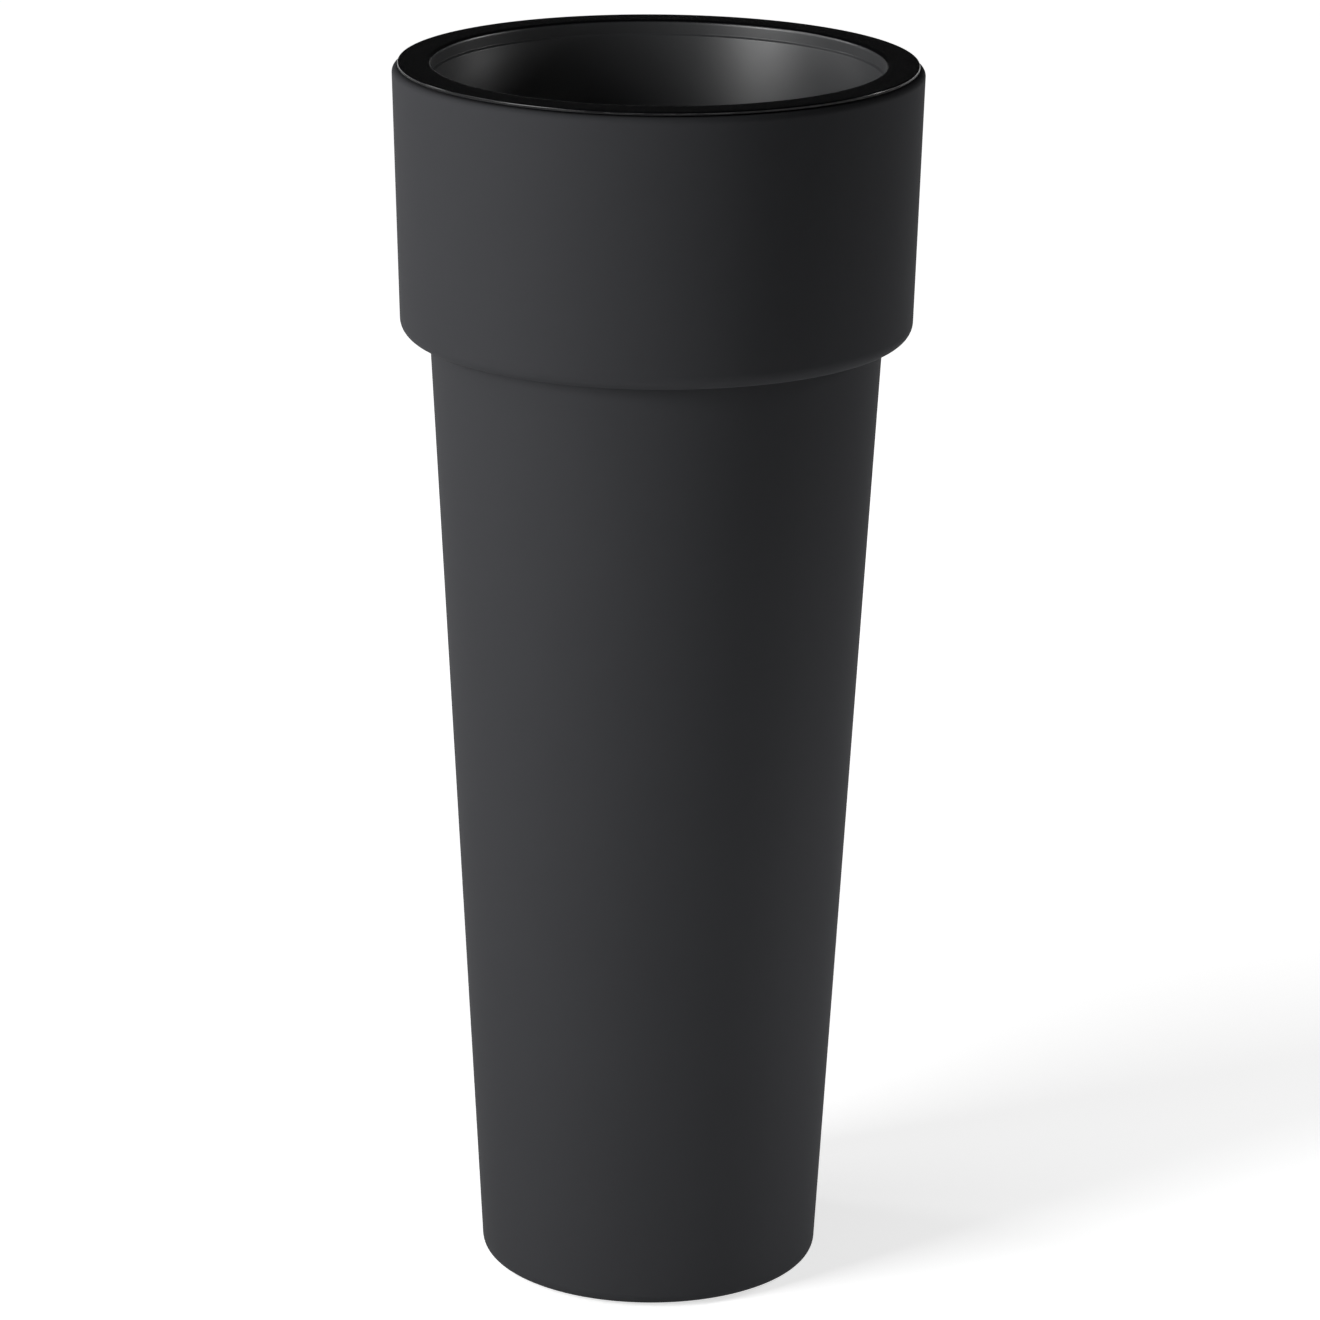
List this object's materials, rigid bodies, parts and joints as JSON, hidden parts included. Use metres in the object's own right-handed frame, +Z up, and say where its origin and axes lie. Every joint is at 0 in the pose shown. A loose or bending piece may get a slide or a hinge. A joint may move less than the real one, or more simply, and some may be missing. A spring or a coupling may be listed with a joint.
{
  "type": "tall planter",
  "caption": "Tall round planter: tapered satin shell with a wide collar, and a glossy black drop-in liner that lifts out by its flange.",
  "frame": {"origin": "centre of the foot, on the floor under the foot pads", "axes": "+Z up along the planter's axis of turning; +X and +Y level, with the four foot pads on the diagonals between them"},
  "size_m": [0.4187, 0.4188, 1],
  "materials": {
    "shell": "satin anthracite gelcoat",
    "laminate": "raw glass laminate, flow-coated",
    "liner": "polished black",
    "seal": "matt black foam rubber",
    "plugs": "matt black rubber",
    "pads": "matt black rubber"
  },
  "bodies": {
    "shell": {"column_shell": "shell", "collar_shell": "shell", "base_plate": "laminate", "liner_shelf": "laminate", "rim_seal": "seal", "foot_pads": "pads"},
    "liner": {"liner": "liner"},
    "base_drain_plug": {"base_drain_plug": "plugs"},
    "liner_drain_plug": {"liner_drain_plug": "plugs"}
  },
  "joints": [
    {"name": "liner_lift", "type": "slide", "parent": "shell", "child": "liner", "axis": [0, 0, 1], "range_m": [0, 0.36]},
    {"name": "base_plug_pull", "type": "slide", "parent": "shell", "child": "base_drain_plug", "axis": [0, 0, -1], "range_m": [0, 0.03]},
    {"name": "liner_plug_pull", "type": "slide", "parent": "liner", "child": "liner_drain_plug", "axis": [0, 0, -1], "range_m": [0, 0.03]}
  ]
}
